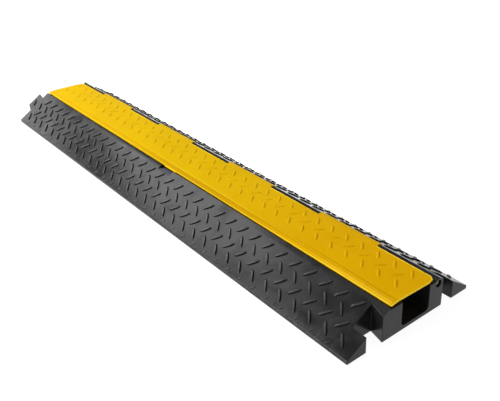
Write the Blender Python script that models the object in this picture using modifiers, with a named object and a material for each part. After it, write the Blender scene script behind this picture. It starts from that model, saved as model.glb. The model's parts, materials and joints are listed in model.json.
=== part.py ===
"""Floor cord cover: a one-channel cable ramp for a floor.

A black rubber moulding with two tread ramps and an open channel carries a
yellow lid, which turns on a steel rod along the far edge of the channel.

Frame: X along the length, Y across from the near ramp to the far ramp,
Z up. The origin is on the floor, in the middle of the length and the width.
The section is drawn as (y, z) pairs and the plan as (x, y) pairs, in
millimetres, and every mesh is made in metres.
"""

import math

import bmesh
import bpy
from mathutils import Matrix, Vector

MM = 0.001

# Whole object
BODY_LENGTH = 1000.0
HALF_WIDTH = 111.0
LIP_HEIGHT = 5.5

# Channel for the cords
CHANNEL_NEAR = -17.4
CHANNEL_FAR = 32.8
CHANNEL_FLOOR = 6.3
CHANNEL_ROUND = 6.0
WALL_TOP = 43.9

# Ramps
NEAR_RAMP_TOP_Y = -39.0
NEAR_RAMP_TOP_Z = 47.8
LIP_ROUND = 1.5
RIM_ROUND = 0.8

# Hinge along the far edge
PIN_Y = 49.5
PIN_Z = 38.6
ROD_RADIUS = 4.0
ROD_INSET = 2.5
ROD_CHAMFER = 0.6
BORE_RADIUS = 4.3
END_HOLE_RADIUS = 5.2
END_HOLE_DEPTH = 6.0
BASE_BARREL_RADIUS = 8.2
LID_BARREL_RADIUS = 9.2
TROUGH_RADIUS = 10.4
BASE_KNUCKLE_CENTRES = (-449.5, -227.5, 0.0, 227.5, 449.5)
BASE_KNUCKLE_HALVES = (50.5, 55.5, 55.5, 55.5, 50.5)
KNUCKLE_GAP = 1.0

# End connectors: half dovetails, tabs at -X and notches at +X
CONNECTOR_OUTER = 79.0
NEAR_MOUTH, NEAR_BACK = -52.0, -46.5
FAR_MOUTH, FAR_BACK = 59.0, 55.5
NOTCH_DEPTH = 23.5
TAB_LENGTH = 23.0
TAB_SIDE_CLEARANCE = 0.5
TAB_TIP_CLEARANCE = 3.0

# Lid
LID_GAP = 0.3
LID_UNDERSIDE = WALL_TOP + LID_GAP
LID_NEAR_Y = -37.6
LID_NEAR_EDGE_TOP = 48.0
LID_BEVEL_Y = -31.0
LID_BEVEL_Z = 49.3
LID_CREST_Y = -24.0
LID_CREST_Z = 49.8
LID_FAR_Y = 44.6
LID_EDGE_CLEAR_RADIUS = 9.4
LID_END_INSET = 0.5
LID_EDGE_SKIN = 1.2
LID_UNDERCUT_Y = -36.0
LID_END_REBATE = 4.0

# Far corners of the lid, as (in from the end, in from the far edge)
LID_CORNER = ((-2.2, 22.3), (2.2, 3.7), (14.8, -3.7))

# Finger recess in the near rim, and the pull lip of the lid above it
RECESS_LOW_X = -18.2
RECESS_HIGH_X = 17.4
RECESS_NEAR_Y = -48.0
RECESS_FAR_Y = -33.0
RECESS_FLOOR_SLOPE = -0.17
PULL_CENTRE_X = 6.0
PULL_LENGTH = 37.0
PULL_REACH = 1.8
PULL_CLEARANCE = 0.6

ARC_STEP = math.radians(9.0)
ROUND_SEGMENTS = 32
THROUGH = 60.0
CUT_MARGIN = 4.0
END_X = BODY_LENGTH / 2.0

# Local X, Y, Z of an outline become the world's Y, Z, X for a section
SECTION_TURN = Matrix(((0, 0, 1, 0), (1, 0, 0, 0), (0, 1, 0, 0), (0, 0, 0, 1)))
PLAN_TURN = Matrix.Identity(4)


def clear_scene():
    """Remove every object that the new file starts with."""
    for old in list(bpy.data.objects):
        bpy.data.objects.remove(old, do_unlink=True)


def new_collection(name):
    """Make a collection under the scene's own."""
    collection = bpy.data.collections.new(name)
    bpy.context.scene.collection.children.link(collection)
    return collection


def make_material(name, colour, roughness, metallic=0.0):
    """Make a plain Principled material."""
    material = bpy.data.materials.new(name)
    material.use_nodes = True
    shader = material.node_tree.nodes["Principled BSDF"]
    shader.inputs["Base Color"].default_value = (*colour, 1.0)
    shader.inputs["Roughness"].default_value = roughness
    shader.inputs["Metallic"].default_value = metallic
    return material


def arc(centre, radius, start, end):
    """Points on an arc from start to end, both in degrees."""
    first, last = math.radians(start), math.radians(end)
    steps = max(2, math.ceil(abs(last - first) / ARC_STEP))
    angles = [first + (last - first) * i / steps for i in range(steps + 1)]
    return [(centre[0] + radius * math.cos(a), centre[1] + radius * math.sin(a)) for a in angles]


def rounded(before, corner, after, radius):
    """Points that round one corner of an outline with a tangent arc."""
    here = Vector(corner)
    to_before = (Vector(before) - here).normalized()
    to_after = (Vector(after) - here).normalized()
    half = to_before.angle(to_after) / 2.0
    centre = here + (to_before + to_after).normalized() * radius / math.sin(half)
    reach = radius / math.tan(half)
    first = here + to_before * reach - centre
    last = here + to_after * reach - centre
    turn = first.angle_signed(last)
    steps = max(2, math.ceil(abs(turn) / ARC_STEP))
    start = math.atan2(first.y, first.x)
    angles = [start - turn * i / steps for i in range(steps + 1)]
    return [(centre.x + radius * math.cos(a), centre.y + radius * math.sin(a)) for a in angles]


def extruded(name, outline, low, high, turn, collection):
    """Extrude a flat outline from low to high and return it as a closed mesh object."""
    curve = bpy.data.curves.new(name, "CURVE")
    curve.dimensions = "2D"
    curve.fill_mode = "BOTH"
    curve.extrude = (high - low) / 2.0 * MM
    spline = curve.splines.new("POLY")
    spline.points.add(len(outline) - 1)
    for point, (u, v) in zip(spline.points, outline):
        point.co = (u * MM, v * MM, 0.0, 1.0)
    spline.use_cyclic_u = True
    drawn = bpy.data.objects.new(name + "_outline", curve)
    collection.objects.link(drawn)
    bpy.context.view_layer.update()
    evaluated = drawn.evaluated_get(bpy.context.evaluated_depsgraph_get())
    mesh = bpy.data.meshes.new_from_object(evaluated)
    bpy.data.objects.remove(drawn, do_unlink=True)
    mesh.name = name
    mesh.materials.clear()
    shift = Matrix.Translation((0.0, 0.0, (low + high) / 2.0 * MM))
    mesh.transform(turn @ shift)
    close_mesh(mesh)
    solid = bpy.data.objects.new(name, mesh)
    collection.objects.link(solid)
    return solid


def close_mesh(mesh):
    """Weld the caps to the sides and point every face outwards."""
    work = bmesh.new()
    work.from_mesh(mesh)
    bmesh.ops.remove_doubles(work, verts=work.verts, dist=0.000001)
    bmesh.ops.recalc_face_normals(work, faces=work.faces)
    work.to_mesh(mesh)
    work.free()


def cylinder_along_x(name, radius, low, high, collection):
    """Make a closed cylinder on the hinge axis."""
    mesh = bpy.data.meshes.new(name)
    work = bmesh.new()
    bmesh.ops.create_cone(
        work,
        cap_ends=True,
        segments=ROUND_SEGMENTS,
        radius1=radius * MM,
        radius2=radius * MM,
        depth=(high - low) * MM,
        matrix=Matrix.Translation(((low + high) / 2.0 * MM, PIN_Y * MM, PIN_Z * MM))
        @ Matrix.Rotation(math.radians(90.0), 4, "Y"),
    )
    work.to_mesh(mesh)
    work.free()
    solid = bpy.data.objects.new(name, mesh)
    collection.objects.link(solid)
    return solid


def combine(target, tool, operation):
    """Add an exact Boolean of the tool to the target."""
    modifier = target.modifiers.new(tool.name, "BOOLEAN")
    modifier.object = tool
    modifier.operation = operation
    modifier.solver = "EXACT"
    tool.hide_render = True
    tool.display_type = "WIRE"


def chamfer_edges(solid, width):
    """Cut a piece's sharp edges back with a narrow flat."""
    bevel = solid.modifiers.new("edges", "BEVEL")
    bevel.width = width * MM
    bevel.segments = 1
    bevel.limit_method = "ANGLE"
    bevel.angle_limit = math.radians(60.0)


def finish_round(solid, angle=30.0):
    """Shade a piece smooth, with its sharp edges kept."""
    mesh = solid.data
    mesh.shade_smooth()
    mesh.set_sharp_from_angle(angle=math.radians(angle))


def far_ramp_angle():
    """Slope in degrees of the far ramp, which is tangent to the black barrels."""
    across = HALF_WIDTH - PIN_Y
    rise = PIN_Z - LIP_HEIGHT
    reach = math.hypot(across, rise)
    return math.degrees(math.atan2(rise, across) + math.asin(BASE_BARREL_RADIUS / reach))


def base_section():
    """Outline of the rubber base through a black knuckle."""
    near_toe = (-HALF_WIDTH, LIP_HEIGHT)
    near_rim = (NEAR_RAMP_TOP_Y, NEAR_RAMP_TOP_Z)
    far_toe = (HALF_WIDTH, LIP_HEIGHT)
    slope = far_ramp_angle()
    barrel = (PIN_Y, PIN_Z)
    tangent = arc(barrel, BASE_BARREL_RADIUS, 90.0 - slope, 90.0 - slope + 1.0)[0]
    wall_meets = math.degrees(math.asin((WALL_TOP - PIN_Z) / BASE_BARREL_RADIUS))
    low_near = (CHANNEL_NEAR, CHANNEL_FLOOR)
    low_far = (CHANNEL_FAR, CHANNEL_FLOOR)
    outline = [(-HALF_WIDTH, 0.0)]
    outline += rounded(outline[0], near_toe, near_rim, LIP_ROUND)
    outline += rounded(near_toe, near_rim, (NEAR_RAMP_TOP_Y, WALL_TOP), RIM_ROUND)
    outline += [(NEAR_RAMP_TOP_Y, WALL_TOP), (CHANNEL_NEAR, WALL_TOP)]
    outline += rounded((CHANNEL_NEAR, WALL_TOP), low_near, low_far, CHANNEL_ROUND)
    outline += rounded(low_near, low_far, (CHANNEL_FAR, WALL_TOP), CHANNEL_ROUND)
    outline += [(CHANNEL_FAR, WALL_TOP)]
    outline += arc(barrel, BASE_BARREL_RADIUS, 180.0 - wall_meets, 90.0 - slope)
    outline += rounded(tangent, far_toe, (HALF_WIDTH, 0.0), LIP_ROUND)
    outline += [(HALF_WIDTH, 0.0)]
    return outline


def lid_knuckle_zones():
    """The (low, high) stretches of X between the black knuckles."""
    pairs = list(zip(BASE_KNUCKLE_CENTRES, BASE_KNUCKLE_HALVES))
    return [(a + half_a, b - half_b) for (a, half_a), (b, half_b) in zip(pairs, pairs[1:])]


def cut_hinge_recesses(base, cutters):
    """Cut the trough round each yellow barrel, and the bore for the rod."""
    trough = [(PIN_Y - TROUGH_RADIUS, THROUGH)]
    trough += arc((PIN_Y, PIN_Z), TROUGH_RADIUS, 180.0, 360.0)
    trough += [(PIN_Y + TROUGH_RADIUS, THROUGH)]
    for number, (low, high) in enumerate(lid_knuckle_zones(), start=1):
        margin = KNUCKLE_GAP / 2.0
        cutter = extruded(f"trough_{number}", trough, low - margin, high + margin, SECTION_TURN, cutters)
        combine(base, cutter, "DIFFERENCE")
    reach = END_X + THROUGH
    bore = cylinder_along_x("base_bore", BORE_RADIUS, -reach, reach, cutters)
    combine(base, bore, "DIFFERENCE")
    inner = END_X - END_HOLE_DEPTH
    for name, low, high in (("end_hole_left", -reach, -inner), ("end_hole_right", inner, reach)):
        combine(base, cylinder_along_x(name, END_HOLE_RADIUS, low, high, cutters), "DIFFERENCE")


def cut_connectors(base, cutters):
    """Cut the two notches at +X, and all but the two tabs at -X."""
    low, high = -THROUGH, THROUGH
    mouth = END_X
    back = mouth - NOTCH_DEPTH
    past = mouth + THROUGH
    sides = (
        ("near", -CONNECTOR_OUTER, NEAR_MOUTH, NEAR_BACK),
        ("far", CONNECTOR_OUTER, FAR_MOUTH, FAR_BACK),
    )
    for side, outer, at_mouth, at_back in sides:
        plan = [(back, outer), (past, outer), (past, at_mouth), (mouth, at_mouth), (back, at_back)]
        combine(base, extruded(f"notch_{side}", plan, low, high, PLAN_TURN, cutters), "DIFFERENCE")

    root = -END_X
    tip = root - TAB_LENGTH
    out = tip - THROUGH
    wide = HALF_WIDTH + THROUGH
    outer = CONNECTOR_OUTER - TAB_SIDE_CLEARANCE
    near_root, near_tip = NEAR_MOUTH - TAB_SIDE_CLEARANCE, NEAR_BACK - TAB_TIP_CLEARANCE
    far_root, far_tip = FAR_MOUTH + TAB_SIDE_CLEARANCE, FAR_BACK + TAB_TIP_CLEARANCE
    between = [
        (root, near_root),
        (tip, near_tip),
        (out, near_tip),
        (out, far_tip),
        (tip, far_tip),
        (root, far_root),
    ]
    waste = (
        ("waste_near", [(root, -wide), (root, -outer), (out, -outer), (out, -wide)]),
        ("waste_middle", between),
        ("waste_far", [(root, outer), (root, wide), (out, wide), (out, outer)]),
    )
    for name, plan in waste:
        combine(base, extruded(name, plan, low, high, PLAN_TURN, cutters), "DIFFERENCE")


def near_ramp_height(y):
    """Height of the near ramp's surface."""
    slope = (NEAR_RAMP_TOP_Z - LIP_HEIGHT) / (NEAR_RAMP_TOP_Y + HALF_WIDTH)
    return LIP_HEIGHT + slope * (y + HALF_WIDTH)


def cut_finger_recess(base, cutters):
    """Cut the shelf under the pull lip, whose floor runs in from the ramp's surface."""
    start_y = RECESS_NEAR_Y - THROUGH / 6.0
    outline = [(start_y, THROUGH)]
    for y in (start_y, RECESS_FAR_Y):
        outline.append((y, near_ramp_height(RECESS_NEAR_Y) + RECESS_FLOOR_SLOPE * (y - RECESS_NEAR_Y)))
    outline.append((RECESS_FAR_Y, THROUGH))
    cutter = extruded("finger_recess", outline, RECESS_LOW_X, RECESS_HIGH_X, SECTION_TURN, cutters)
    combine(base, cutter, "DIFFERENCE")


def cut_pull_seat(base, cutters):
    """Cut the rim back where the pull lip of the lid lies over it."""
    reach = PULL_LENGTH / 2.0 + PULL_CLEARANCE
    low, high = PULL_CENTRE_X - reach, PULL_CENTRE_X + reach
    near = LID_NEAR_Y - PULL_REACH - PULL_CLEARANCE
    plan = [(low, near), (high, near), (high, LID_NEAR_Y), (low, LID_NEAR_Y)]
    combine(base, extruded("pull_seat", plan, WALL_TOP, THROUGH, PLAN_TURN, cutters), "DIFFERENCE")


def build_base(parts, cutters):
    """Make the rubber base as one moulding."""
    tip = -END_X - TAB_LENGTH
    base = extruded("rubber_base", base_section(), tip, END_X, SECTION_TURN, parts)
    cut_connectors(base, cutters)
    cut_hinge_recesses(base, cutters)
    cut_finger_recess(base, cutters)
    cut_pull_seat(base, cutters)
    base.data.materials.append(make_material("black_rubber", (0.016, 0.016, 0.017), 0.55))
    return base


def lid_top(y):
    """Height of the lid's top, which falls gently from its crest to the barrels."""
    share = (y - LID_CREST_Y) / (PIN_Y - LID_CREST_Y)
    return LID_CREST_Z + share * (PIN_Z + LID_BARREL_RADIUS - LID_CREST_Z)


def bevel_top(y):
    """Height of the bevel along the lid's near edge."""
    slope = (LID_BEVEL_Z - LID_NEAR_EDGE_TOP) / (LID_BEVEL_Y - LID_NEAR_Y)
    return LID_NEAR_EDGE_TOP + slope * (y - LID_NEAR_Y)


def lid_section():
    """Outline of the lid through a yellow knuckle and the pull lip."""
    pull_y = LID_NEAR_Y - PULL_REACH
    fall = math.degrees(math.atan2(lid_top(0.0) - lid_top(PIN_Y), PIN_Y))
    under_angle = 180.0 - math.degrees(math.asin((LID_UNDERSIDE - PIN_Z) / LID_BARREL_RADIUS))
    outline = [
        (LID_UNDERCUT_Y, LID_UNDERSIDE),
        (LID_UNDERCUT_Y, bevel_top(LID_UNDERCUT_Y) - LID_EDGE_SKIN),
        (pull_y, bevel_top(pull_y) - LID_EDGE_SKIN),
        (pull_y, bevel_top(pull_y)),
        (LID_BEVEL_Y, LID_BEVEL_Z),
        (LID_CREST_Y, LID_CREST_Z),
    ]
    outline += arc((PIN_Y, PIN_Z), LID_BARREL_RADIUS, 90.0 - fall, under_angle - 360.0)
    return outline


def cut_lid_far_edge(lid, cutters):
    """Cut the lid back where it passes each black knuckle, clear of the barrel."""
    over = LID_FAR_Y - PIN_Y
    lift = math.sqrt(LID_EDGE_CLEAR_RADIUS**2 - over**2)
    edge_angle = math.degrees(math.atan2(lift, over))
    past = PIN_Y + THROUGH
    outline = [(LID_FAR_Y, THROUGH)]
    outline += arc((PIN_Y, PIN_Z), LID_EDGE_CLEAR_RADIUS, edge_angle, 180.0)
    outline += [(PIN_Y - LID_EDGE_CLEAR_RADIUS, 0.0), (past, 0.0), (past, THROUGH)]
    for number, (centre, half) in enumerate(zip(BASE_KNUCKLE_CENTRES, BASE_KNUCKLE_HALVES), start=1):
        reach = half + KNUCKLE_GAP / 2.0
        cutter = extruded(f"far_edge_{number}", outline, centre - reach, centre + reach, SECTION_TURN, cutters)
        combine(lid, cutter, "DIFFERENCE")


def cut_pull_lip(lid, cutters):
    """Cut the near edge back on both sides of the pull lip."""
    out = END_X + THROUGH
    pull_y = LID_NEAR_Y - PULL_REACH
    for side in (-1.0, 1.0):
        end = PULL_CENTRE_X + side * PULL_LENGTH / 2.0
        tip = end - side * PULL_REACH
        plan = [
            (side * out, LID_NEAR_Y),
            (end, LID_NEAR_Y),
            (tip, pull_y),
            (tip, pull_y - THROUGH),
            (side * out, pull_y - THROUGH),
        ]
        name = "near_edge_right" if side > 0 else "near_edge_left"
        combine(lid, extruded(name, plan, -THROUGH, THROUGH, PLAN_TURN, cutters), "DIFFERENCE")


def cut_lid_corners(lid, cutters):
    """Cut the two far corners of the lid back in three facets."""
    end = END_X - LID_END_INSET
    past = end + THROUGH
    for side in (-1.0, 1.0):
        plan = [(side * (end - along), LID_FAR_Y - across) for along, across in LID_CORNER]
        plan.append((side * past, LID_FAR_Y + THROUGH))
        plan.append((side * past, LID_FAR_Y - LID_CORNER[0][1]))
        name = "corner_right" if side > 0 else "corner_left"
        combine(lid, extruded(name, plan, 0.0, THROUGH, PLAN_TURN, cutters), "DIFFERENCE")


def cut_lid_ends(lid, cutters):
    """Cut the underside of both ends back to a thin edge that follows the top."""
    end = END_X - LID_END_INSET
    near, far = LID_NEAR_Y - CUT_MARGIN, LID_FAR_Y + CUT_MARGIN
    low = LID_UNDERSIDE - CUT_MARGIN
    outline = [
        (near, low),
        (near, bevel_top(near) - LID_EDGE_SKIN),
        (LID_BEVEL_Y, LID_BEVEL_Z - LID_EDGE_SKIN),
        (LID_CREST_Y, LID_CREST_Z - LID_EDGE_SKIN),
        (far, lid_top(far) - LID_EDGE_SKIN),
        (far, low),
    ]
    inner = end - LID_END_REBATE
    for name, first, last in (("end_left", -end - THROUGH, -inner), ("end_right", inner, end + THROUGH)):
        combine(lid, extruded(name, outline, first, last, SECTION_TURN, cutters), "DIFFERENCE")


def build_lid(parts, cutters, axis):
    """Make the yellow lid: plate, knuckles, pull lip, rounded far corners and thin ends."""
    end = END_X - LID_END_INSET
    lid = extruded("cover_lid", lid_section(), -end, end, SECTION_TURN, parts)
    cut_lid_far_edge(lid, cutters)
    cut_pull_lip(lid, cutters)
    cut_lid_corners(lid, cutters)
    cut_lid_ends(lid, cutters)
    bore = cylinder_along_x("lid_bore", BORE_RADIUS, -END_X, END_X, cutters)
    combine(lid, bore, "DIFFERENCE")
    lid.data.materials.append(make_material("yellow_plastic", (0.78, 0.46, 0.01), 0.4))
    finish_round(lid)
    hang_on(lid, axis)
    return lid


def hang_on(piece, axis):
    """Parent a piece to the hinge empty and keep it where it is."""
    piece.parent = axis
    piece.matrix_parent_inverse = axis.matrix_world.inverted()


def build_rod(parts):
    """Make the steel rod that the lid turns on."""
    end = END_X - ROD_INSET
    rod = cylinder_along_x("hinge_rod", ROD_RADIUS, -end, end, parts)
    chamfer_edges(rod, ROD_CHAMFER)
    rod.data.materials.append(make_material("dark_steel", (0.16, 0.16, 0.165), 0.4, 1.0))
    finish_round(rod)
    return rod


def build_hinge_axis(parts):
    """Make the empty that the lid turns with, on the axis of the rod."""
    axis = bpy.data.objects.new("hinge_axis", None)
    axis.empty_display_type = "SINGLE_ARROW"
    axis.empty_display_size = 0.1
    axis.location = (0.0, PIN_Y * MM, PIN_Z * MM)
    parts.objects.link(axis)
    bpy.context.view_layer.update()
    return axis


def main():
    clear_scene()
    parts = new_collection("floor_cord_cover")
    cutters = new_collection("shape_tools")
    axis = build_hinge_axis(parts)
    build_base(parts, cutters)
    build_lid(parts, cutters, axis)
    build_rod(parts)


main()
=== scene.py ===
"""Looks of a floor cord cover: its finishes, its raised tread and the studio round it.

Lengths are in metres, in the frame's own axes: +X runs along the channel towards the end with
the notches, +Y runs across towards the hinge, +Z is up, and the cover lies on the floor at z = 0.
"""

import json
import logging
import math
from dataclasses import dataclass
from enum import Enum

import bmesh
import bpy
import numpy as np
from mathutils import Matrix, Vector

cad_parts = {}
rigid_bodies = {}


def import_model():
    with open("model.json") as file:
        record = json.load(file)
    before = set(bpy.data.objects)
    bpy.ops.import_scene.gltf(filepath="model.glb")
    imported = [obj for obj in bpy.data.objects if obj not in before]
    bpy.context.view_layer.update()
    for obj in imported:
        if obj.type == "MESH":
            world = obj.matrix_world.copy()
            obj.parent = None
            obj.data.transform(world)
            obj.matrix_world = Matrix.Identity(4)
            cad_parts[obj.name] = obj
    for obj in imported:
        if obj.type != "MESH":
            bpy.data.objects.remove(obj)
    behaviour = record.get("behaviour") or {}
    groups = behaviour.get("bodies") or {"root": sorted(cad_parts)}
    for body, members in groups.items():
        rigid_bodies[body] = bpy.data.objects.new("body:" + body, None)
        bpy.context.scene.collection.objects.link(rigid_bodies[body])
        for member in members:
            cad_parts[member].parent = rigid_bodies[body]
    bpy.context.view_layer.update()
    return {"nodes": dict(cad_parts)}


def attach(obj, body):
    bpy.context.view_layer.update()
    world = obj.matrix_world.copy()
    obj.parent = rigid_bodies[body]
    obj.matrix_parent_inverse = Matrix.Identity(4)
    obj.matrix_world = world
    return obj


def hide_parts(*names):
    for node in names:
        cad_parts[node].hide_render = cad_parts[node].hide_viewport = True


for leftover in list(bpy.data.objects):
    bpy.data.objects.remove(leftover)

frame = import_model()

MM = 0.001
MERGE_DISTANCE = 0.25 * MM
FLAT_ANGLE = math.radians(0.5)
SHARP_ANGLE = math.radians(30.0)

log = logging.getLogger("cord_cover")


class Slot(Enum):
    """The record's material slots."""

    RUBBER = "black_rubber"
    PLASTIC = "yellow_plastic"
    STEEL = "dark_steel"


class Body(Enum):
    """The bodies of the frame that pieces ride on."""

    BASE = "base"
    LID = "lid"


class Lean(Enum):
    """The way a tread bar leans, seen with +X to the right and the slope falling downwards."""

    RISING = -1.0
    FALLING = 1.0


class NodeBoard:
    """A node tree with short calls to add nodes and to join them."""

    def __init__(self, tree: bpy.types.NodeTree) -> None:
        """Empties the tree and keeps it."""
        self.tree = tree
        tree.nodes.clear()

    def add(self, kind: str, settings: dict | None = None, **values: object) -> bpy.types.Node:
        """Adds a node.

        Args:
            kind: the node's type name, without the word ShaderNode.
            settings: the node's own properties.
            values: socket values, or sockets to join from; underscores stand for spaces.

        Returns:
            The new node.
        """
        node = self.tree.nodes.new("ShaderNode" + kind)
        for key, value in (settings or {}).items():
            setattr(node, key, value)
        for key, value in values.items():
            self.feed(node, key.replace("_", " "), value)
        return node

    def feed(self, node: bpy.types.Node, socket: str | int, value: object) -> None:
        """Sets one input of a node, or joins it to an output.

        Args:
            node: the node that takes the value.
            socket: the input's name or number.
            value: a number, a tuple, or the output socket of another node.
        """
        target = node.inputs[socket]
        if isinstance(value, bpy.types.NodeSocket):
            self.tree.links.new(value, target)
        else:
            target.default_value = value

    def sums(self, operation: str, *terms: object) -> bpy.types.NodeSocket:
        """Adds a Math node.

        Args:
            operation: the node's operation, such as MULTIPLY.
            terms: numbers or output sockets, in the order of the inputs.

        Returns:
            The node's output socket.
        """
        node = self.add("Math", {"operation": operation})
        for place, term in enumerate(terms):
            self.feed(node, place, term)
        return node.outputs[0]

    def ranged(self, value: object, low: float, high: float, out_low: float,
               out_high: float) -> bpy.types.NodeSocket:
        """Maps a value smoothly from one range to another.

        Args:
            value: the output socket that is read.
            low: the value that gives out_low.
            high: the value that gives out_high.
            out_low: the result at low and beyond it.
            out_high: the result at high and beyond it.

        Returns:
            The mapped value's socket.
        """
        node = self.add("MapRange", {"interpolation_type": "SMOOTHSTEP"}, Value=value)
        self.feed(node, "From Min", low)
        self.feed(node, "From Max", high)
        self.feed(node, "To Min", out_low)
        self.feed(node, "To Max", out_high)
        return node.outputs["Result"]

    def blend(self, share: object, first: object, second: object) -> bpy.types.NodeSocket:
        """Mixes two colours.

        Args:
            share: the second colour's share, from 0 to 1.
            first: a colour with alpha, or a colour socket.
            second: a colour with alpha, or a colour socket.

        Returns:
            The mixed colour's socket.
        """
        node = self.add("Mix", {"data_type": "RGBA"})
        self.feed(node, 0, share)
        self.feed(node, 6, first)
        self.feed(node, 7, second)
        return node.outputs[2]


class Effect:
    """A shader node group with named inputs and outputs, built once and used by several finishes."""

    name = "effect"
    inputs: tuple[tuple[str, str, float], ...] = ()
    outputs: tuple[str, ...] = ()

    def tree(self) -> bpy.types.NodeTree:
        """Gives the group's node tree, and builds it the first time."""
        known = bpy.data.node_groups.get(self.name)
        if known is not None:
            return known
        tree = bpy.data.node_groups.new(self.name, "ShaderNodeTree")
        for label, kind, value in self.inputs:
            socket = tree.interface.new_socket(name=label, in_out="INPUT", socket_type=kind)
            if kind == "NodeSocketFloat":
                socket.default_value = value
        for label in self.outputs:
            tree.interface.new_socket(name=label, in_out="OUTPUT", socket_type="NodeSocketFloat")
        board = NodeBoard(tree)
        entry = tree.nodes.new("NodeGroupInput")
        leave = tree.nodes.new("NodeGroupOutput")
        self.wire(board, entry, leave)
        return tree

    def wire(self, board: NodeBoard, entry: bpy.types.Node, leave: bpy.types.Node) -> None:
        """Joins the group's inputs to its outputs; each effect has its own."""
        raise NotImplementedError

    def place(self, board: NodeBoard, **values: object) -> bpy.types.Node:
        """Puts the group into a material.

        Args:
            board: the material's node board.
            values: the group's input values or sockets; underscores stand for spaces.

        Returns:
            The group node.
        """
        node = board.tree.nodes.new("ShaderNodeGroup")
        node.node_tree = self.tree()
        for key, value in values.items():
            board.feed(node, key.replace("_", " "), value)
        return node


class MouldGrain(Effect):
    """The fine grain and the slow waves that a mould and the shrinking of the part leave.

    Height = grain depth * fine noise + wave depth * slow noise, in metres.
    Mottle is a third noise between the two scales, from 0 to 1.
    """

    name = "mould_grain"
    inputs = (
        ("Vector", "NodeSocketVector", 0.0),
        ("Grain Scale", "NodeSocketFloat", 900.0),
        ("Grain Depth", "NodeSocketFloat", 0.00003),
        ("Wave Scale", "NodeSocketFloat", 18.0),
        ("Wave Depth", "NodeSocketFloat", 0.0003),
        ("Mottle Scale", "NodeSocketFloat", 60.0),
    )
    outputs = ("Height", "Mottle")

    def wire(self, board: NodeBoard, entry: bpy.types.Node, leave: bpy.types.Node) -> None:
        """Sums the fine and the slow noise, and passes the middle one on as mottle."""
        place = entry.outputs["Vector"]
        grain = board.add("TexNoise", Vector=place, Scale=entry.outputs["Grain Scale"], Detail=2.0)
        wave = board.add("TexNoise", Vector=place, Scale=entry.outputs["Wave Scale"], Detail=1.0)
        mottle = board.add("TexNoise", Vector=place, Scale=entry.outputs["Mottle Scale"], Detail=4.0)
        fine = board.sums("MULTIPLY", grain.outputs["Fac"], entry.outputs["Grain Depth"])
        slow = board.sums("MULTIPLY", wave.outputs["Fac"], entry.outputs["Wave Depth"])
        board.feed(leave, "Height", board.sums("ADD", fine, slow))
        board.feed(leave, "Mottle", board.ranged(mottle.outputs["Fac"], 0.3, 0.7, 0.0, 1.0))


class Rubbed(Effect):
    """Wear that breaks up along an edge or a crest.

    Mask = smoothstep(edge + roughly even noise - 0.5), times the amount.
    """

    name = "rubbed_edge"
    inputs = (
        ("Vector", "NodeSocketVector", 0.0),
        ("Edge", "NodeSocketFloat", 0.0),
        ("Amount", "NodeSocketFloat", 0.5),
        ("Patch Scale", "NodeSocketFloat", 120.0),
    )
    outputs = ("Mask",)

    def wire(self, board: NodeBoard, entry: bpy.types.Node, leave: bpy.types.Node) -> None:
        """Lets a patchy noise decide how far the wear reaches in from the edge."""
        patch = board.add("TexNoise", Vector=entry.outputs["Vector"],
                          Scale=entry.outputs["Patch Scale"], Detail=3.0)
        reach = board.sums("ADD", entry.outputs["Edge"], patch.outputs["Fac"])
        worn = board.ranged(reach, 0.85, 1.35, 0.0, 1.0)
        board.feed(leave, "Mask", board.sums("MULTIPLY", worn, entry.outputs["Amount"]))


class Dust(Effect):
    """A thin veil of dust on faces that look up.

    Mask = smoothstep(up) * smoothstep(noise) * amount.
    """

    name = "settled_dust"
    inputs = (
        ("Vector", "NodeSocketVector", 0.0),
        ("Up", "NodeSocketFloat", 1.0),
        ("Amount", "NodeSocketFloat", 0.3),
        ("Cloud Scale", "NodeSocketFloat", 12.0),
    )
    outputs = ("Mask",)

    def wire(self, board: NodeBoard, entry: bpy.types.Node, leave: bpy.types.Node) -> None:
        """Keeps the noise only where the face looks up."""
        cloud = board.add("TexNoise", Vector=entry.outputs["Vector"],
                          Scale=entry.outputs["Cloud Scale"], Detail=5.0, Roughness=0.6)
        veil = board.ranged(cloud.outputs["Fac"], 0.42, 0.72, 0.0, 1.0)
        level = board.ranged(entry.outputs["Up"], 0.3, 0.95, 0.0, 1.0)
        both = board.sums("MULTIPLY", veil, level)
        board.feed(leave, "Mask", board.sums("MULTIPLY", both, entry.outputs["Amount"]))


@dataclass(frozen=True)
class Finish:
    """What every finish has: a name, a colour, a material and a way to be put on a piece."""

    name: str
    colour: tuple[float, float, float, float]
    roughness: float
    specular: float = 0.5

    def put_on(self, piece: bpy.types.Object) -> None:
        """Puts this finish on a piece in place of any that it has.

        Args:
            piece: the piece's object.
        """
        material = self.material()
        if not piece.material_slots:
            piece.data.materials.append(material)
        for place in piece.material_slots:
            place.link = "OBJECT"
            place.material = material

    def material(self) -> bpy.types.Material:
        """Gives the finish's material, and makes it with its shader and output the first time."""
        known = bpy.data.materials.get(self.name)
        if known is not None:
            return known
        material = bpy.data.materials.new(self.name)
        material.use_nodes = True
        board = NodeBoard(material.node_tree)
        shader = board.add("BsdfPrincipled", Specular_IOR_Level=self.specular)
        output = board.add("OutputMaterial")
        board.feed(output, "Surface", shader.outputs[0])
        self.wire(board, shader)
        return material

    def wire(self, board: NodeBoard, shader: bpy.types.Node) -> None:
        """Feeds the shader its colours and values; each kind of finish has its own."""
        raise NotImplementedError

    def relief(self, board: NodeBoard, shader: bpy.types.Node, height: bpy.types.NodeSocket,
               strength: float) -> None:
        """Gives the shader a fine relief.

        Args:
            board: the material's node board.
            shader: the material's shader.
            height: the relief's height in metres.
            strength: how much of it shows, from 0 to 1.
        """
        bump = board.add("Bump", Height=height, Strength=strength, Distance=1.0)
        board.feed(shader, "Normal", bump.outputs["Normal"])


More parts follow.
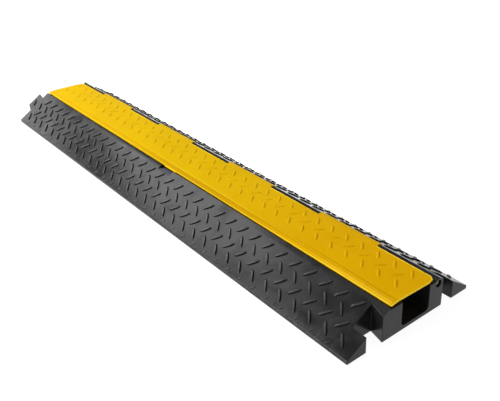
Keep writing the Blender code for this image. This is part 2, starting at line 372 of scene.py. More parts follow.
@dataclass(frozen=True)
class MouldedRubber(Finish):
    """Satin black rubber with mould grain, smears, worn edges, a little dust and a painted reflection.
    """

    worn_colour: tuple[float, float, float, float] = (0.06, 0.06, 0.062, 1.0)
    dust_colour: tuple[float, float, float, float] = (0.10, 0.098, 0.095, 1.0)
    # Pale bluish colour painted on the recess floor as a reflection of the bright background.
    recess_reflection_colour: tuple[float, float, float, float] = (0.14, 0.155, 0.20, 1.0)
    mottle_shade: float = 0.7
    crest_wear: float = 0.5
    lip_wear: float = 0.6
    lip_y: float = 111.0 * MM
    lip_wear_width: float = 2.2 * MM
    dust_amount: float = 0.07
    recess_reflection_share: float = 0.8
    smear_roughness: float = 0.10
    worn_polish: float = 0.10
    recess_centre: tuple[float, float] = (-0.4 * MM, -41.5 * MM)
    recess_half: tuple[float, float] = (17.3 * MM, 6.2 * MM)
    recess_top: float = 42.6 * MM

    def wire(self, board: NodeBoard, shader: bpy.types.Node) -> None:
        """Builds the rubber's nodes."""
        where = board.add("TexCoord")
        place = where.outputs["Object"]
        axes = board.add("SeparateXYZ", Vector=place)
        facing = board.add("SeparateXYZ", Vector=where.outputs["Normal"])
        grain = MouldGrain().place(board, Vector=place, Grain_Scale=1100.0, Grain_Depth=0.000028,
                                   Wave_Scale=26.0, Wave_Depth=0.00035, Mottle_Scale=38.0)
        lip = board.ranged(board.sums("ABSOLUTE", axes.outputs["Y"]),
                           self.lip_y - self.lip_wear_width, self.lip_y, 0.0, self.lip_wear)
        crest = board.add("Attribute", {"attribute_name": "crest"})
        edge = board.sums("MAXIMUM", lip, crest.outputs["Fac"])
        worn = Rubbed().place(board, Vector=place, Edge=edge, Amount=self.crest_wear)
        dust = Dust().place(board, Vector=place, Up=facing.outputs["Z"], Amount=self.dust_amount)
        smear = board.add("TexNoise", Vector=place, Scale=9.0, Detail=6.0, Roughness=0.62,
                          Distortion=1.4)
        smeared = board.ranged(smear.outputs["Fac"], 0.52, 0.66, 0.0, 1.0)
        dark = tuple(value * self.mottle_shade for value in self.colour[:3]) + (1.0,)
        tone = board.blend(grain.outputs["Mottle"], dark, self.colour)
        tone = board.blend(dust.outputs["Mask"], tone, self.dust_colour)
        tone = board.blend(worn.outputs["Mask"], tone, self.worn_colour)
        # Painted reflection: the recess floor turns pale and bluish where it would mirror the bright
        # background.
        tone = board.blend(self.painted_recess_reflection(board, axes, facing), tone, self.recess_reflection_colour)
        board.feed(shader, "Base Color", tone)
        gloss = board.ranged(grain.outputs["Mottle"], 0.0, 1.0, self.roughness - 0.04,
                             self.roughness + 0.05)
        gloss = board.sums("MULTIPLY_ADD", smeared, self.smear_roughness, gloss)
        polish = board.sums("MULTIPLY", worn.outputs["Mask"], self.worn_polish)
        board.feed(shader, "Roughness", board.sums("SUBTRACT", gloss, polish))
        self.relief(board, shader, grain.outputs["Height"], 0.8)

    def painted_recess_reflection(self, board: NodeBoard, axes: bpy.types.Node,
                facing: bpy.types.Node) -> bpy.types.NodeSocket:
        """Finds the floor of the finger recess, where a pale bluish reflection of the bright background
        is painted in.

        Share = up * reflection share inside the recess's outline and below its top, and 0 elsewhere.

        Args:
            board: the material's node board.
            axes: the node that gives a point's X, Y and Z.
            facing: the node that gives X, Y and Z of the way the face looks.

        Returns:
            The painted reflection's share.
        """
        inside = board.sums("LESS_THAN", axes.outputs["Z"], self.recess_top)
        for axis, centre, half in zip("XY", self.recess_centre, self.recess_half):
            off = board.sums("ABSOLUTE", board.sums("SUBTRACT", axes.outputs[axis], centre))
            inside = board.sums("MULTIPLY", inside, board.sums("LESS_THAN", off, half))
        level = board.sums("MULTIPLY", inside, facing.outputs["Z"])
        return board.sums("MULTIPLY", level, self.recess_reflection_share)


@dataclass(frozen=True)
class MouldedPlastic(Finish):
    """Satin yellow plastic with fine grain, sink waves, scuffs along its length and pale edges,
    partly worn and partly a painted highlight.

    It turns a little more orange towards +X, and painted shade darkens its near side face.
    """

    warm_colour: tuple[float, float, float, float] = (0.722, 0.392, 0.0, 1.0)
    warm_from: float = -0.02
    warm_to: float = 0.48
    # Paler yellow for scuffs and worn crests, and also for the painted highlights on the edges, beads
    # and rim strip.
    pale_wear_and_highlight_colour: tuple[float, float, float, float] = (0.92, 0.67, 0.045, 1.0)
    dust_colour: tuple[float, float, float, float] = (0.72, 0.52, 0.12, 1.0)
    # Painted shade on the floors of the rim strip's grooves.
    groove_shade_colour: tuple[float, float, float, float] = (0.50, 0.26, 0.0, 1.0)
    # Painted shade on the lid's near side face, under the pale edge.
    painted_shade_colour: tuple[float, float, float, float] = (0.14, 0.08, 0.0, 1.0)
    mottle_tint: tuple[float, float, float, float] = (0.965, 0.955, 1.0, 1.0)
    scuff_stretch: tuple[float, float, float] = (4.0, 260.0, 260.0)
    scuff_paleness: float = 0.25
    scuff_roughness: float = 0.12
    end_x: float = 499.4 * MM
    far_y: float = 58.7 * MM
    # Width of the painted highlight along the ends and the far edge.
    edge_highlight_width: float = 1.0 * MM
    # How strongly bar crests wear, and how strongly the ends and far edge get painted highlight.
    edge_wear_and_highlight: float = 0.8
    dust_amount: float = 0.012
    near_edge: tuple[float, float] = (-37.6 * MM, 48.0 * MM)
    near_slope: float = 0.197
    # How far below the bevel's plane, and how far in from the near edge, the painted shade reaches.
    shade_depths: tuple[float, float] = (0.25 * MM, 0.5 * MM)
    shade_reach: float = 1.0 * MM

    def wire(self, board: NodeBoard, shader: bpy.types.Node) -> None:
        """Builds the plastic's nodes."""
        where = board.add("TexCoord")
        place = where.outputs["Object"]
        facing = board.add("SeparateXYZ", Vector=where.outputs["Normal"])
        grain = MouldGrain().place(board, Vector=place, Grain_Scale=1500.0, Grain_Depth=0.000012,
                                   Wave_Scale=14.0, Wave_Depth=0.00022, Mottle_Scale=16.0)
        stretch = board.add("Mapping", Vector=place, Scale=self.scuff_stretch)
        streak = board.add("TexNoise", Vector=stretch.outputs["Vector"], Scale=1.0, Detail=3.0,
                           Roughness=0.7)
        scuffed = board.ranged(streak.outputs["Fac"], 0.60, 0.74, 0.0, 0.5)
        axes = board.add("SeparateXYZ", Vector=place)
        # Worn bar crests, plus a painted highlight along the lid's ends and far edge.
        worn = Rubbed().place(board, Vector=place, Edge=self.edges(board, axes),
                              Amount=self.edge_wear_and_highlight, Patch_Scale=90.0)
        dust = Dust().place(board, Vector=place, Up=facing.outputs["Z"], Amount=self.dust_amount)
        warmth = board.ranged(axes.outputs["X"], self.warm_from, self.warm_to, 0.0, 1.0)
        even = board.blend(warmth, self.colour, self.warm_colour)
        depth = board.add("Mix", {"data_type": "RGBA", "blend_type": "MULTIPLY"})
        board.feed(depth, 0, board.ranged(grain.outputs["Mottle"], 0.0, 1.0, 1.0, 0.0))
        board.feed(depth, 6, even)
        board.feed(depth, 7, self.mottle_tint)
        scuff = board.sums("MULTIPLY", scuffed, self.scuff_paleness)
        tone = board.blend(scuff, depth.outputs[2], self.pale_wear_and_highlight_colour)
        tone = board.blend(worn.outputs["Mask"], tone, self.pale_wear_and_highlight_colour)
        # The tone attribute is painted light: above 0 it paints a highlight, below 0 it paints shade.
        painted_tone = board.add("Attribute", {"attribute_name": "tone"}).outputs["Fac"]
        tone = board.blend(board.sums("MAXIMUM", painted_tone, 0.0), tone, self.pale_wear_and_highlight_colour)
        painted_groove_shade = board.sums("MAXIMUM", board.sums("MULTIPLY", painted_tone, -1.0), 0.0)
        tone = board.blend(painted_groove_shade, tone, self.groove_shade_colour)
        tone = board.blend(dust.outputs["Mask"], tone, self.dust_colour)
        # Painted shade darkens the near side face.
        tone = board.blend(self.painted_near_shade(board, axes), tone, self.painted_shade_colour)
        board.feed(shader, "Base Color", tone)
        gloss = board.ranged(grain.outputs["Mottle"], 0.0, 1.0, self.roughness - 0.03,
                             self.roughness + 0.03)
        gloss = board.sums("MULTIPLY_ADD", scuffed, self.scuff_roughness, gloss)
        board.feed(shader, "Roughness", gloss)
        self.relief(board, shader, grain.outputs["Height"], 0.7)

    def edges(self, board: NodeBoard, axes: bpy.types.Node) -> bpy.types.NodeSocket:
        """Finds the crests of the lid's bars, which wear first, and its ends and far edge, where
        a highlight is painted.

        Args:
            board: the material's node board.
            axes: the node that gives a point's X, Y and Z.

        Returns:
            How near the point is to such an edge, from 0 to 1.
        """
        crest = board.add("Attribute", {"attribute_name": "crest"})
        end = board.ranged(board.sums("ABSOLUTE", axes.outputs["X"]),
                           self.end_x - self.edge_highlight_width, self.end_x, 0.0, 1.0)
        far = board.ranged(axes.outputs["Y"], self.far_y - self.edge_highlight_width, self.far_y, 0.0, 0.7)
        return board.sums("MAXIMUM", crest.outputs["Fac"], board.sums("MAXIMUM", end, far))

    def painted_near_shade(self, board: NodeBoard, axes: bpy.types.Node) -> bpy.types.NodeSocket:
        """Finds the near side face, which lies below the plane of the near bevel and gets painted shade.

        Depth = edge height + slope * (y - edge y) - z, and the share is smoothstep(depth) within
        the painted shade's reach of the near edge.

        Args:
            board: the material's node board.
            axes: the node that gives a point's X, Y and Z.

        Returns:
            The painted shade's share.
        """
        from_edge = board.sums("SUBTRACT", axes.outputs["Y"], self.near_edge[0])
        plane = board.sums("MULTIPLY_ADD", from_edge, self.near_slope, self.near_edge[1])
        below = board.sums("SUBTRACT", plane, axes.outputs["Z"])
        return board.sums("MULTIPLY", board.ranged(below, *self.shade_depths, 0.0, 1.0),
                          board.sums("LESS_THAN", from_edge, self.shade_reach))


@dataclass(frozen=True)
class DrawnSteel(Finish):
    """Blackened steel with fine drawing lines along X."""

    line_stretch: tuple[float, float, float] = (6.0, 1800.0, 1800.0)
    line_depth: float = 0.01 * MM
    line_roughness: float = 0.08

    def wire(self, board: NodeBoard, shader: bpy.types.Node) -> None:
        """Builds the steel's nodes."""
        shader.inputs["Metallic"].default_value = 1.0
        place = board.add("TexCoord").outputs["Object"]
        stretch = board.add("Mapping", Vector=place, Scale=self.line_stretch)
        lines = board.add("TexNoise", Vector=stretch.outputs["Vector"], Scale=1.0, Detail=2.0)
        spangle = board.add("TexNoise", Vector=place, Scale=240.0, Detail=3.0)
        pale = tuple(min(1.0, value * 1.3) for value in self.colour[:3]) + (1.0,)
        board.feed(shader, "Base Color", board.blend(spangle.outputs["Fac"], self.colour, pale))
        gloss = board.ranged(lines.outputs["Fac"], 0.3, 0.7, self.roughness - self.line_roughness,
                             self.roughness + self.line_roughness)
        board.feed(shader, "Roughness", gloss)
        depth = board.sums("MULTIPLY", lines.outputs["Fac"], self.line_depth)
        self.relief(board, shader, depth, 0.6)


@dataclass(frozen=True)
class PaleFloor(Finish):
    """A matt floor, white by its own glow and brighter behind the cover's left part."""

    glow: float = 0.92
    back_glow: float = 2.4
    back_start: float = 0.06
    back_end: float = 0.14
    side_start: float = -0.10
    side_end: float = 0.50

    def wire(self, board: NodeBoard, shader: bpy.types.Node) -> None:
        """Builds the floor's nodes."""
        place = board.add("TexCoord").outputs["Object"]
        cloud = board.add("TexNoise", Vector=place, Scale=1.5, Detail=2.0)
        shade = tuple(value * 0.98 for value in self.colour[:3]) + (1.0,)
        board.feed(shader, "Base Color", board.blend(cloud.outputs["Fac"], self.colour, shade))
        shader.inputs["Roughness"].default_value = self.roughness
        axes = board.add("SeparateXYZ", Vector=place)
        behind = board.ranged(axes.outputs["Y"], self.back_start, self.back_end, 0.0, 1.0)
        beside = board.ranged(axes.outputs["X"], self.side_start, self.side_end, 1.0, 0.0)
        behind = board.sums("MULTIPLY", behind, beside)
        near, far = ((value, value, value, 1.0) for value in (self.glow, self.back_glow))
        board.feed(shader, "Emission Color", board.blend(behind, near, far))
        shader.inputs["Emission Strength"].default_value = 1.0


RUBBER = MouldedRubber("moulded_rubber", (0.012, 0.012, 0.0125, 1.0), 0.22, 0.20)
PLASTIC = MouldedPlastic("moulded_plastic", (0.71, 0.44, 0.0, 1.0), 0.42, 0.02)
STEEL = DrawnSteel("drawn_steel", (0.16, 0.16, 0.165, 1.0), 0.36)
FLOOR = PaleFloor("pale_floor", (0.20, 0.20, 0.20, 1.0), 0.9, 0.0)


def new_piece(name: str, points: np.ndarray, faces: list[tuple[int, ...]]) -> bpy.types.Object:
    """Makes a smooth shaded piece at the origin from points and faces.

    Args:
        name: the piece's name.
        points: its points, one row each.
        faces: its faces, as tuples of point numbers that turn anticlockwise seen from outside.

    Returns:
        The piece's object, in the scene.
    """
    mesh = bpy.data.meshes.new(name)
    mesh.from_pydata(points.tolist(), [], faces)
    mesh.update()
    mesh.polygons.foreach_set("use_smooth", np.ones(len(mesh.polygons), dtype=bool))
    piece = bpy.data.objects.new(name, mesh)
    bpy.context.scene.collection.objects.link(piece)
    return piece


def set_values(piece: bpy.types.Object, name: str, values: np.ndarray) -> None:
    """Gives each of a piece's points a number that its finish reads.

    Args:
        piece: the piece's object.
        name: the attribute's name.
        values: one number for each point.
    """
    attribute = piece.data.attributes.new(name, "FLOAT", "POINT")
    attribute.data.foreach_set("value", values)


def ring_quads(rings: int, around: int) -> np.ndarray:
    """Lists the four-sided faces between rings that follow one another in the points.

    Args:
        rings: how many rings there are.
        around: how many points a ring has.

    Returns:
        The faces, as rows of four point numbers.
    """
    ring = np.arange(rings - 1)[:, None] * around
    step = np.arange(around)[None, :]
    after = (step + 1) % around
    return np.stack([ring + step, ring + around + step, ring + around + after, ring + after],
                    axis=-1).reshape(-1, 4)


def tube_faces(rings: int, around: int) -> list[list[int]]:
    """Lists the faces of a closed tube whose rings follow one another in the points.

    Args:
        rings: how many rings there are.
        around: how many points a ring has.

    Returns:
        The four-sided faces along the tube and one face over each end.
    """
    faces = ring_quads(rings, around).tolist()
    faces.append(list(range(around)))
    faces.append(list(range((rings - 1) * around, rings * around))[::-1])
    return faces


def softened_copy(node: str, name: str, radius: float) -> bpy.types.Object:
    """Copies a CAD node's shape into a new piece whose sharp edges are rounded.

    The copy's loose triangles are merged and its flat areas become single faces first.

    Args:
        node: the CAD node's name.
        name: the new piece's name.
        radius: how far the rounding reaches from an edge.

    Returns:
        The new piece, which stands for the node.
    """
    source = frame["nodes"][node].data
    points = np.zeros(len(source.vertices) * 3)
    source.vertices.foreach_get("co", points)
    corners = np.zeros(len(source.loops), dtype=np.int64)
    source.loops.foreach_get("vertex_index", corners)
    faces = [tuple(face) for face in corners.reshape(-1, 3).tolist()]
    piece = new_piece(name, points.reshape(-1, 3), faces)
    work = bmesh.new()
    work.from_mesh(piece.data)
    bmesh.ops.remove_doubles(work, verts=work.verts, dist=MERGE_DISTANCE)
    bmesh.ops.dissolve_limit(work, angle_limit=FLAT_ANGLE, verts=work.verts, edges=work.edges)
    work.to_mesh(piece.data)
    work.free()
    rounding = piece.modifiers.new("rounded_edges", "BEVEL")
    rounding.width = radius
    rounding.segments = 2
    rounding.limit_method = "ANGLE"
    rounding.angle_limit = SHARP_ANGLE
    rounding.use_clamp_overlap = False
    rounding.harden_normals = True
    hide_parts(node)
    return piece


@dataclass(frozen=True)
class BarShape:
    """One raised bar of the tread: a flat topped ridge with steep sides and pointed ends."""

    length: float
    width: float
    height: float
    sink: float = 0.35 * MM
    rings: int = 6
    last_ring: float = math.radians(72.0)
    section_s: tuple[float, ...] = (1.0, 0.76, 0.66, 0.48, -0.48, -0.66, -0.76, -1.0)
    section_t: tuple[float, ...] = (0.0, 0.70, 0.93, 1.0, 1.0, 0.93, 0.70, 0.0)

    def body(self) -> tuple[np.ndarray, np.ndarray, np.ndarray, np.ndarray]:
        """Works out the bar's points and faces about its own centre.

        With u from -1 to 1 along the bar, s the section's place across and t its share of the height:
            along = length / 2 * u
            across = width / 2 * (1 - |u|^3)^0.6 * s
            up = (height + sink) * (1 - u^6)^0.5 * t - sink
        A pole closes each end, and the last point of each ring joins the first under the bar.

        Returns:
            The points as rows of along, across and up, each point's share of the height, the
            four-sided faces and the three-sided ones.
        """
        u = np.sin(np.linspace(-1.0, 1.0, self.rings) * self.last_ring)[:, None]
        s, t = np.array([self.section_s]), np.array([self.section_t])
        share = (1.0 - u ** 6) ** 0.5 * t
        along = self.length / 2 * u + 0.0 * s
        across = self.width / 2 * (1.0 - np.abs(u) ** 3) ** 0.6 * s
        up = (self.height + self.sink) * share - self.sink
        ring_points = np.stack([along, across, up], axis=-1).reshape(-1, 3)
        poles = np.array([[-self.length / 2, 0.0, -self.sink], [self.length / 2, 0.0, -self.sink]])
        points = np.concatenate([ring_points, poles])
        crest = np.concatenate([share.reshape(-1), np.zeros(2)])
        around = s.size
        count = self.rings * around
        last = count - around
        spot = np.arange(around)
        turn = (spot + 1) % around
        first_cap = np.stack([np.full_like(spot, count), spot, turn], axis=-1)
        last_cap = np.stack([np.full_like(spot, count + 1), last + turn, last + spot], axis=-1)
        caps = np.concatenate([first_cap, last_cap])
        return points, crest, ring_quads(self.rings, around), caps


@dataclass(frozen=True)
class TreadPlane:
    """A flat area that carries tread bars: a start line along X and a direction across it."""

    start_y: float
    start_z: float
    end_y: float
    end_z: float

    def axes(self) -> tuple[np.ndarray, np.ndarray, np.ndarray]:
        """Gives the start point at x = 0, the unit direction across and the outward normal."""
        across = np.array([0.0, self.end_y - self.start_y, self.end_z - self.start_z])
        across = across / np.linalg.norm(across)
        normal = np.cross([1.0, 0.0, 0.0], across)
        return np.array([0.0, self.start_y, self.start_z]), across, normal * np.sign(normal[2])


@dataclass(frozen=True)
class TreadRow:
    """One row of parallel bars at a given distance across its plane.

    Its bars stand at x = phase + pitch * n, for each whole n from first to last.
    """

    distance: float
    lean: Lean
    first: int
    last: int
    phase: float


@dataclass(frozen=True)
class Tread:
    """Rows of bars that lean to and fro, as on chequer plate."""

    name: str
    plane: TreadPlane
    shape: BarShape
    rows: tuple[TreadRow, ...]
    pitch: float = 29.0 * MM
    angle: float = math.radians(48.5)
    wear: float = 1.0
    top_weight: int = 90

    def build(self) -> bpy.types.Object:
        """Sets a bar at every place of every row and joins them in one piece.

        A bar's own axes are
            long = cos(angle) * X + lean * sin(angle) * across
            wide = normal x long
        and each of its points is centre + along * long + off * wide + up * normal.

        Returns:
            The piece with all bars.
        """
        start, across, normal = self.plane.axes()
        centres, longs = [], []
        for row in self.rows:
            x = row.phase + self.pitch * np.arange(row.first, row.last + 1)
            centre = start + row.distance * across + np.stack([x, 0 * x, 0 * x], axis=-1)
            axis = (math.cos(self.angle) * np.array([1.0, 0.0, 0.0])
                    + row.lean.value * math.sin(self.angle) * across)
            centres.append(centre)
            longs.append(np.broadcast_to(axis, centre.shape))
        centre = np.concatenate(centres)[:, None, :]
        long = np.concatenate(longs)[:, None, :]
        wide = np.cross(normal, long)
        body, share, quads, caps = self.shape.body()
        points = (centre + body[None, :, 0:1] * long + body[None, :, 1:2] * wide
                  + body[None, :, 2:3] * normal)
        shift = (np.arange(len(centre)) * len(body))[:, None, None]
        faces = ((quads[None] + shift).reshape(-1, 4).tolist()
                 + (caps[None] + shift).reshape(-1, 3).tolist())
        piece = new_piece(self.name, points.reshape(-1, 3), faces)
        set_values(piece, "crest", np.tile(share * self.wear, len(centre)))
        crisp = piece.modifiers.new("even_tops", "WEIGHTED_NORMAL")
        crisp.weight = self.top_weight
        log.info("%s: %d bars, %d faces", self.name, len(centre), len(faces))
        return piece


@dataclass
class RubberBase:
    """The black moulding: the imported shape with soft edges, and the tread on both ramps."""

    edge_radius: float = 0.7 * MM
    rim: tuple[float, float] = (-39.0 * MM, 47.8 * MM)
    near_lip: tuple[float, float] = (-111.0 * MM, 5.5 * MM)
    far_top: tuple[float, float] = (54.2 * MM, 45.3 * MM)
    far_lip: tuple[float, float] = (111.0 * MM, 5.5 * MM)
    phase: float = -1.5 * MM
    row_shift: float = 14.5 * MM
    bar: BarShape = BarShape(21.0 * MM, 4.4 * MM, 2.0 * MM)
    stub: BarShape = BarShape(9.0 * MM, 3.2 * MM, 0.7 * MM)

    def near_tread(self) -> Tread:
        """Lays out the four rows on the near ramp, with one bar on the near tab."""
        shifted = self.phase + self.row_shift
        rows = (
            TreadRow(19.0 * MM, Lean.RISING, -16, 16, self.phase),
            TreadRow(35.0 * MM, Lean.FALLING, -18, 15, shifted),
            TreadRow(50.5 * MM, Lean.RISING, -16, 16, self.phase),
            TreadRow(66.3 * MM, Lean.FALLING, -17, 16, shifted),
        )
        return Tread("tread_near", TreadPlane(*self.rim, *self.near_lip), self.bar, rows)

    def near_stubs(self) -> Tread:
        """Lays out the row of short bars beside the near lip."""
        rows = (TreadRow(78.5 * MM, Lean.RISING, -16, 16, self.phase),)
        return Tread("tread_near_stubs", TreadPlane(*self.rim, *self.near_lip), self.stub, rows)

    def far_tread(self) -> Tread:
        """Lays out the four rows on the far ramp."""
        shifted = self.phase + self.row_shift
        rows = (
            TreadRow(15.1 * MM, Lean.FALLING, -16, 16, self.phase),
            TreadRow(30.0 * MM, Lean.RISING, -17, 15, shifted),
            TreadRow(45.0 * MM, Lean.FALLING, -16, 16, self.phase),
            TreadRow(59.5 * MM, Lean.RISING, -17, 16, shifted),
        )
        return Tread("tread_far", TreadPlane(*self.far_top, *self.far_lip), self.bar, rows)

    def build(self) -> None:
        """Builds and dresses the moulding and its tread."""
        body = softened_copy("rubber_base", "rubber_moulding", self.edge_radius)
        treads = [tread.build() for tread in (self.near_tread(), self.near_stubs(),
                                              self.far_tread())]
        for piece in (body, *treads):
            RUBBER.put_on(piece)
            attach(piece, Body.BASE.value)
        log.info("rubber base: %d pieces", 1 + len(treads))


@dataclass
class CoverLid:
    """The yellow lid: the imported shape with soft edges, its low tread and the rim of its near side."""

    edge_radius: float = 0.45 * MM
    crest: tuple[float, float] = (-24.0 * MM, 49.8 * MM)
    hinge_side: tuple[float, float] = (49.5 * MM, 47.8 * MM)
    phase: float = -3.0 * MM
    row_shift: float = 12.0 * MM
    top_y: tuple[float, ...] = (-37.6 * MM, -31.0 * MM, -24.0 * MM, 49.5 * MM)
    top_z: tuple[float, ...] = (48.0 * MM, 49.3 * MM, 49.8 * MM, 47.8 * MM)
    far_edge: float = 44.6 * MM
    # How pale the beads are painted, as a highlight.
    bead_highlight: float = 0.8
    strip_half: float = 499.0 * MM
    strip_mitre: float = 3.5 * MM
    strip_stations: int = 12
    strip_sink: float = 0.1 * MM
    # Painted shade on the facets where the rim strip is mitred at its ends.
    mitre_shade: float = -0.35
    strip_crease: float = math.radians(14.0)
    bar: BarShape = BarShape(19.0 * MM, 4.2 * MM, 0.75 * MM)
    knuckles: tuple[float, ...] = (-227.5 * MM, 0.0, 227.5 * MM)
    knuckle_half: float = 55.7 * MM

    def tread(self) -> Tread:
        """Lays out the three rows of low bars."""
        shifted = self.phase + self.row_shift
        plane = TreadPlane(*self.crest, *self.hinge_side)
        rows = (
            TreadRow(23.0 * MM, Lean.RISING, -17, 16, shifted),
            TreadRow(38.3 * MM, Lean.FALLING, -16, 16, self.phase),
            TreadRow(53.8 * MM, Lean.RISING, -17, 16, shifted),
        )
        return Tread("tread_lid", plane, self.bar, rows, wear=0.3)

    def top(self, y: np.ndarray) -> np.ndarray:
        """Gives the height of the lid's top at each y."""
        return np.interp(y, self.top_y, self.top_z)

    def edge_bead(self, name: str, path: np.ndarray) -> bpy.types.Object:
        """Builds a thin bead just inside the lid's outline, painted pale as a highlight.

        The section, points of (distance in from the outline, height above the lid), is carried
        along the path; at a bend its points move along the line that halves the bend:
            point = path + distance * (left before + left after) / (1 + left before . left after)

        Args:
            name: the piece's name.
            path: the outline's points, as rows of x and y, with the lid on their left.

        Returns:
            The bead.
        """
        section = np.array([[0.10, -0.60], [0.14, -0.12], [0.55, 0.20], [1.05, 0.20], [1.40, 0.04],
                            [1.50, -0.40]]) * MM
        way = np.diff(path, axis=0)
        way = way / np.linalg.norm(way, axis=1, keepdims=True)
        left = np.stack([-way[:, 1], way[:, 0]], axis=-1)
        before, after = np.concatenate([left[:1], left]), np.concatenate([left, left[-1:]])
        inward = (before + after) / (1.0 + np.sum(before * after, axis=1, keepdims=True))
        flat = path[:, None, :] + inward[:, None, :] * section[None, :, 0:1]
        height = self.top(flat[..., 1]) + section[None, :, 1]
        points = np.concatenate([flat, height[..., None]], axis=-1).reshape(-1, 3)
        piece = new_piece(name, points, tube_faces(len(path), len(section)))
        # Painted highlight along the bead.
        set_values(piece, "tone", np.full(len(points), self.bead_highlight))
        return piece

    def beads(self) -> list[bpy.types.Object]:
        """Builds the beads round both ends and along the far edge beside each black knuckle."""
        end = np.array([[499.5, -37.4], [499.5, -31.0], [499.5, -24.0], [499.5, 31.6],
                        [497.3, 40.9], [491.0, 44.6], [398.8, 44.6]]) * MM
        pieces = [self.edge_bead("bead_right", end),
                  self.edge_bead("bead_left", end[::-1] * np.array([-1.0, 1.0]))]
        for number, centre in enumerate(self.knuckles, start=1):
            path = np.array([[centre + self.knuckle_half, self.far_edge],
                             [centre - self.knuckle_half, self.far_edge]])
            pieces.append(self.edge_bead(f"bead_far_{number}", path))
        return pieces

    def rim_strip(self) -> bpy.types.Object:
        """Builds the raised strip along the lid's near side.

        The section, points of (y, height above the lid), is carried along X. Towards each end
        what stands above the lid falls to just below it over the mitre's length:
            fade(x) = min(1, (half length - |x|) / mitre)
            z(x, y) = lid(y) + height(y) * fade - sink * (1 - fade)
        Its tone is painted light, from painted shade in the grooves at -1 to a painted highlight on the
        edge at 1, and goes from one set of values through a second to a third towards +X, as the light
        falls differently along the lid.
        """
        section = np.array([[-37.5, -0.4], [-37.4, 0.02], [-37.0, 0.28], [-36.4, 0.42],
                            [-35.6, 0.46], [-31.4, 0.60], [-31.0, 0.56], [-30.7, 0.46],
                            [-30.4, 0.05], [-29.0, 0.05], [-28.8, 0.34], [-26.6, 0.34],
                            [-26.3, 0.06], [-25.0, 0.04], [-24.7, -0.4]]) * MM
        # Painted light across the section at the left, the middle and the right: highlight above 0,
        # shade below.
        left_painted_light = np.array([0.6, 0.5, 0.1, -0.3, -0.35, -0.3, -0.25, -0.3, -0.6, -0.5, 0.0, 0.0,
                              0.0, 0.0, 0.0])
        middle_painted_light = np.array([0.8, 0.7, 0.1, -0.7, -0.9, -0.7, -0.7, -0.8, -1.0, -0.9, 0.0, 0.3,
                                0.3, 0.1, 0.0])
        right_painted_light = np.array([1.0, 1.0, 0.8, 0.25, 0.2, 0.25, 0.1, -0.1, -0.5, -0.4, 0.0, 0.0,
                               -1.0, -1.0, 0.0])
        inner_half = self.strip_half - self.strip_mitre
        inner = np.linspace(-inner_half, inner_half, self.strip_stations)
        x = np.concatenate([[-self.strip_half], inner, [self.strip_half]])
        fade = np.clip((self.strip_half - np.abs(x)) / self.strip_mitre, 0.0, 1.0)[:, None]
        strip_painted_light = np.broadcast_to(left_painted_light, (len(x), len(left_painted_light)))
        for tone, begin, length in ((middle_painted_light, -0.20, 0.28), (right_painted_light, 0.15, 0.27)):
            share = np.clip((x - begin) / length, 0.0, 1.0)[:, None]
            strip_painted_light = strip_painted_light + (tone - strip_painted_light) * share ** 2 * (3.0 - 2.0 * share)
        strip_painted_light = np.where(fade > 0.0, strip_painted_light, self.mitre_shade)
        y, height = section[None, :, 0], section[None, :, 1]
        lowered = height * fade - self.strip_sink * (1.0 - fade)
        z = self.top(y) + np.where(height > 0.0, lowered, height)
        x_grid, y_grid, z_grid = np.broadcast_arrays(x[:, None], y, z)
        points = np.stack([x_grid, y_grid, z_grid], axis=-1).reshape(-1, 3)
        piece = new_piece("lid_rim_strip", points, tube_faces(len(x), section.shape[0]))
        piece.data.set_sharp_from_angle(angle=self.strip_crease)
        # Painted highlight and shade along the strip.
        set_values(piece, "tone", strip_painted_light.reshape(-1))
        return piece

    def build(self) -> None:
        """Builds and dresses the lid, its tread and its rim."""
        body = softened_copy("cover_lid", "lid_moulding", self.edge_radius)
        pieces = (body, self.tread().build(), self.rim_strip(), *self.beads())
        for piece in pieces:
            PLASTIC.put_on(piece)
            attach(piece, Body.LID.value)
        log.info("cover lid: %d pieces", len(pieces))


@dataclass
class HingeRod:
    """The steel rod of the hinge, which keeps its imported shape."""

    node: str = "hinge_rod"

    def build(self) -> None:
        """Dresses the rod."""
        STEEL.put_on(frame["nodes"][self.node])
        log.info("hinge rod: dressed")


@dataclass(frozen=True)
class Softbox:
    """A rectangular soft light that faces the cover."""

    name: str
    place: tuple[float, float, float]
    size: tuple[float, float]
    power: float

    def hang(self) -> None:
        """Puts the light in the scene."""
        data = bpy.data.lights.new(self.name, "AREA")
        data.shape = "RECTANGLE"
        data.size, data.size_y = self.size
        data.energy = self.power
        light = bpy.data.objects.new(self.name, data)
        bpy.context.scene.collection.objects.link(light)
        aim = Vector(self.place).to_track_quat("Z", "Y").to_matrix().to_4x4()
        light.matrix_world = Matrix.Translation(self.place) @ aim


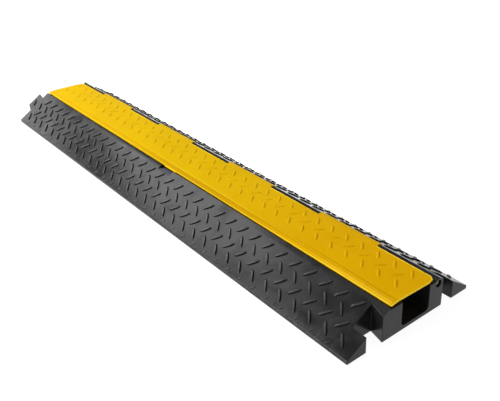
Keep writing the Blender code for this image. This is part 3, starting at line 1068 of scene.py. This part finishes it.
@dataclass
class Studio:
    """The pale floor, the soft lights and the camera."""

    floor_half: float = 9.0
    floor_drop: float = 0.2 * MM
    focal_length: float = 49.427
    sensor_width: float = 36.0
    camera_place: tuple[float, float, float] = (0.92170, -0.54496, 0.56959)
    view: tuple[float, float, float] = (-0.70096, 0.51262, -0.49585)
    roll: float = math.radians(-3.384)
    horizon_height: tuple[float, float] = (0.10, 0.30)
    horizon_colour: tuple[float, float, float, float] = (1.0, 1.0, 1.0, 1.0)
    sky_colour: tuple[float, float, float, float] = (0.22, 0.22, 0.225, 1.0)
    ceiling_height: tuple[float, float] = (0.70, 0.95)
    ceiling_colour: tuple[float, float, float, float] = (0.60, 0.60, 0.60, 1.0)
    softboxes: tuple[Softbox, ...] = (
        Softbox("left_softbox", (-1.20, -0.48, 1.20), (0.9, 0.80), 11.9),
        Softbox("low_softbox", (-1.45, -0.26, 0.42), (0.6, 0.28), 1.6),
        Softbox("front_softbox", (-0.9, -2.0, 1.2), (1.6, 0.9), 58.0),
        Softbox("overhead_softbox", (-0.3, 0.1, 2.4), (1.8, 1.4), 7.4),
    )

    def floor(self) -> None:
        """Lays the floor just under the cover."""
        side, z = self.floor_half, -self.floor_drop
        points = np.array([[-side, -side, z], [side, -side, z], [side, side, z], [-side, side, z]])
        floor = new_piece("studio_floor", points, [(0, 1, 2, 3)])
        FLOOR.put_on(floor)

    def camera(self) -> None:
        """Sets the camera where the photograph was taken from."""
        forward = Vector(self.view).normalized()
        level = forward.cross(Vector((0.0, 0.0, 1.0))).normalized()
        raised = level.cross(forward)
        right = math.cos(self.roll) * level + math.sin(self.roll) * raised
        up = right.cross(forward)
        turn = Matrix((right, up, -forward)).transposed()
        lens = bpy.data.cameras.new("photo_camera")
        lens.sensor_fit = "HORIZONTAL"
        lens.sensor_width = self.sensor_width
        lens.lens = self.focal_length
        lens.clip_start, lens.clip_end = 0.01, 60.0
        camera = bpy.data.objects.new("photo_camera", lens)
        bpy.context.scene.collection.objects.link(camera)
        camera.matrix_world = Matrix.Translation(self.camera_place) @ turn.to_4x4()
        bpy.context.scene.camera = camera

    def sky(self) -> None:
        """Fills the room with soft light, bright near the floor and dimmer above."""
        world = bpy.data.worlds.new("studio_world")
        world.use_nodes = True
        board = NodeBoard(world.node_tree)
        heading = board.add("TexCoord").outputs["Generated"]
        height = board.add("SeparateXYZ", Vector=heading).outputs["Z"]
        low = board.ranged(height, *self.horizon_height, 1.0, 0.0)
        tone = board.blend(low, self.sky_colour, self.horizon_colour)
        high = board.ranged(height, *self.ceiling_height, 0.0, 1.0)
        tone = board.blend(high, tone, self.ceiling_colour)
        background = board.add("Background", Color=tone, Strength=1.0)
        output = board.add("OutputWorld")
        board.feed(output, "Surface", background.outputs[0])
        bpy.context.scene.world = world

    def build(self) -> None:
        """Builds the floor, the lights and the camera."""
        bpy.context.scene.view_settings.view_transform = "Standard"
        self.floor()
        self.camera()
        self.sky()
        for softbox in self.softboxes:
            softbox.hang()
        log.info("studio: floor, camera, sky and %d softboxes", len(self.softboxes))


def main() -> None:
    """Builds the studio and dresses the cover."""
    logging.basicConfig(level=logging.INFO, format="%(name)s: %(message)s")
    Studio().build()
    RubberBase().build()
    CoverLid().build()
    HingeRod().build()


if __name__ == "__main__":
    main()
